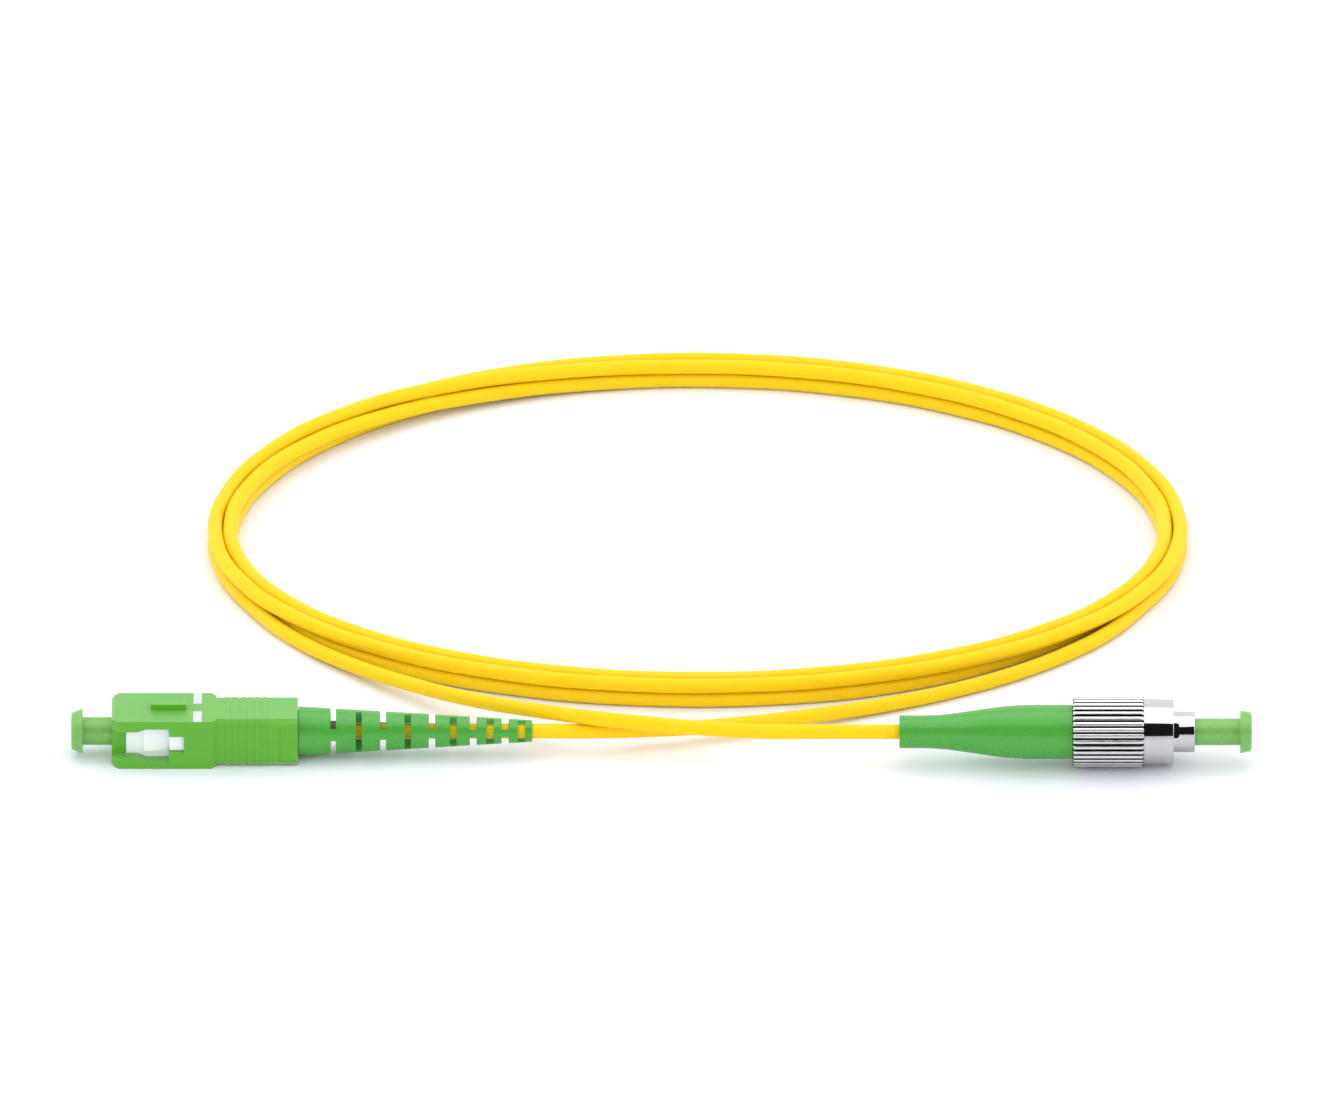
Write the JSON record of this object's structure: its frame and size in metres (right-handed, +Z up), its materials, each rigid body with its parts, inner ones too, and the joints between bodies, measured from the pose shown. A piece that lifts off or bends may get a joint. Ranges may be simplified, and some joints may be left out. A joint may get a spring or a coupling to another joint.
{
  "type": "fiber optic patch cord",
  "caption": "Simplex fiber patch cord: yellow cable in a flat oval coil, with a square push-pull plug and a round threaded plug, both green-booted and capped.",
  "frame": {"origin": "on the resting plane, in the middle of the box round the two plugs, without the cable", "axes": "+X along both plugs, from the square plug to the round one; +Z up from the resting plane; +Y towards the coil"},
  "size_m": [0.1662, 0.126, 0.0099],
  "materials": {
    "housing_green": "satin moulded",
    "boot_green": "soft satin",
    "cap_green": "translucent satin",
    "white_plastic": "satin moulded",
    "marking_white": "printed",
    "jacket_yellow": "satin extruded",
    "nickel": "polished nickel plate",
    "brass": "turned",
    "steel": "drawn",
    "crimp_metal": "dull",
    "zirconia": "polished",
    "glass_fiber": "clear",
    "aramid": "yarn"
  },
  "bodies": {
    "root": {"cable_tail_sc": "jacket_yellow", "cable_coil": "jacket_yellow", "cable_tail_fc": "jacket_yellow", "sc_inner_housing": "white_plastic", "sc_backbone": "brass", "sc_guide_tube": "white_plastic", "sc_aramid_yarn": "aramid", "sc_crimp_sleeve": "crimp_metal", "sc_boot": "boot_green", "sc_spring": "steel", "sc_buffer": "white_plastic", "fc_plug_frame": "nickel", "fc_rear_body": "nickel", "fc_guide_tube": "white_plastic", "fc_aramid_yarn": "aramid", "fc_crimp_sleeve": "crimp_metal", "fc_boot": "boot_green", "fc_spring": "steel", "fc_buffer": "white_plastic"},
    "sc_grip": {"sc_outer_housing": "housing_green"},
    "sc_fiber_end": {"sc_ferrule": "zirconia", "sc_ferrule_flange": "nickel", "sc_bare_fiber": "glass_fiber"},
    "sc_cap": {"sc_dust_cap": "cap_green"},
    "fc_ring": {"fc_slip_ring": "brass"},
    "fc_nut": {"fc_coupling_nut": "nickel"},
    "fc_fiber_end": {"fc_ferrule": "zirconia", "fc_ferrule_flange": "nickel", "fc_bare_fiber": "glass_fiber"},
    "fc_cap": {"fc_dust_cap": "cap_green"}
  },
  "joints": [
    {"name": "sc_grip_slide", "type": "slide", "parent": "root", "child": "sc_grip", "axis": [-1, 0, 0], "range_m": [0, 0.0018]},
    {"name": "sc_ferrule_float", "type": "slide", "parent": "root", "child": "sc_fiber_end", "axis": [1, 0, 0], "range_m": [0, 0.001], "stiffness_N_per_m": 1000, "springref_m": -0.006, "deforming": ["sc_spring", "sc_buffer"]},
    {"name": "sc_cap_pull", "type": "slide", "parent": "sc_fiber_end", "child": "sc_cap", "axis": [-1, 0, 0], "range_m": [0, 0.012]},
    {"name": "fc_nut_slide", "type": "slide", "parent": "root", "child": "fc_ring", "axis": [1, 0, 0], "range_m": [0, 0.0035]},
    {"name": "fc_nut_spin", "type": "hinge", "parent": "fc_ring", "child": "fc_nut", "pos_m": [0.0625, -0.00113, 0.00498], "axis": [1, 0, 0], "continuous": true},
    {"name": "fc_ferrule_float", "type": "slide", "parent": "root", "child": "fc_fiber_end", "axis": [-1, 0, 0], "range_m": [0, 0.001], "stiffness_N_per_m": 1000, "springref_m": -0.006, "deforming": ["fc_spring", "fc_buffer"]},
    {"name": "fc_cap_pull", "type": "slide", "parent": "fc_fiber_end", "child": "fc_cap", "axis": [1, 0, 0], "range_m": [0, 0.01]}
  ]
}
